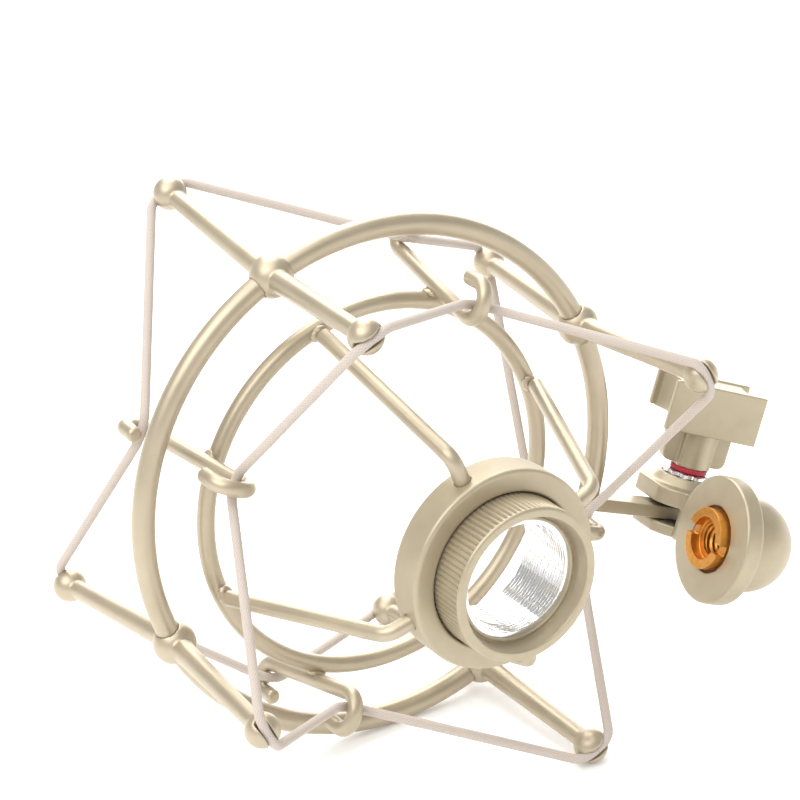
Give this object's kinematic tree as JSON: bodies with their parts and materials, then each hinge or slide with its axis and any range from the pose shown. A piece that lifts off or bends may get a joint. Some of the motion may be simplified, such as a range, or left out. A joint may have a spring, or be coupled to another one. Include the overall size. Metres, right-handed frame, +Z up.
{
  "type": "microphone shock mount",
  "caption": "Spider shock mount: an outer rod ring with slotted posts holds an inner cradle on two elastic cord loops, with a threaded microphone nut and a clamped swivel to a stand thread.",
  "frame": {"origin": "centre of the bounding box at floor level, with the mount lying as it rests on a table", "axes": "+Z up; the outer ring's axis is nearly horizontal, with the microphone nut towards -Y; the stand swivel is towards +X"},
  "size_m": [0.1858, 0.1184, 0.1409],
  "materials": {
    "champagne_paint": "satin",
    "elastic_cord": "matte",
    "orange_anodised": "satin",
    "plain_steel": "satin",
    "chrome": "polished",
    "red_fibre": "matte",
    "black_nylon": "matte"
  },
  "bodies": {
    "frame": {"outer_ring": "champagne_paint", "post_top_left": "champagne_paint", "post_top_right": "champagne_paint", "post_bottom_left": "champagne_paint", "post_bottom_right": "champagne_paint", "swivel_tongue": "champagne_paint", "front_cord": "elastic_cord", "back_cord": "elastic_cord"},
    "cradle": {"inner_ring": "champagne_paint", "hook_top": "champagne_paint", "hook_left": "champagne_paint", "hook_bottom": "champagne_paint", "hook_right": "champagne_paint", "strut_top_left": "champagne_paint", "strut_top_right": "champagne_paint", "strut_bottom_left": "champagne_paint", "strut_bottom_right": "champagne_paint", "collar": "champagne_paint", "glide_washer": "black_nylon"},
    "nut": {"ring_nut": "champagne_paint", "thread_insert": "plain_steel", "nut_retainer": "plain_steel"},
    "stand_adapter": {"stand_adapter": "champagne_paint", "thread_adapter": "orange_anodised", "friction_washer_upper": "black_nylon", "friction_washer_lower": "black_nylon", "spring_washer": "chrome"},
    "clamp": {"red_washer": "red_fibre"},
    "knob": {"clamp_knob": "champagne_paint", "clamp_stud": "plain_steel"}
  },
  "joints": [
    {"name": "suspension", "type": "slide", "parent": "frame", "child": "cradle", "axis": [0, -0.9998, -0.0211], "range_m": [-0.006, 0.006], "stiffness_N_per_m": 1500, "deforming": ["front_cord", "back_cord"]},
    {"name": "nut_spin", "type": "hinge", "parent": "cradle", "child": "nut", "pos_m": [-0.02349, -0.04914, 0.06376], "axis": [0.0097, -0.9991, -0.0406], "continuous": true},
    {"name": "swivel", "type": "hinge", "parent": "frame", "child": "stand_adapter", "pos_m": [0.06573, 0.00677, 0.0325], "axis": [0.3728, -0.0196, 0.9277], "range_deg": [-10, 196]},
    {"name": "clamp_screw", "type": "slide", "parent": "stand_adapter", "child": "clamp", "axis": [0.3728, -0.0196, 0.9277], "range_m": [0, 0.0012]},
    {"name": "knob_turn", "type": "hinge", "parent": "clamp", "child": "knob", "pos_m": [0.07319, 0.00637, 0.05105], "axis": [0.3728, -0.0196, 0.9277], "range_deg": [0, 540]}
  ],
  "couplings": [
    {"joint": "knob_turn", "follows": "clamp_screw", "rad_per_m": 7854}
  ]
}
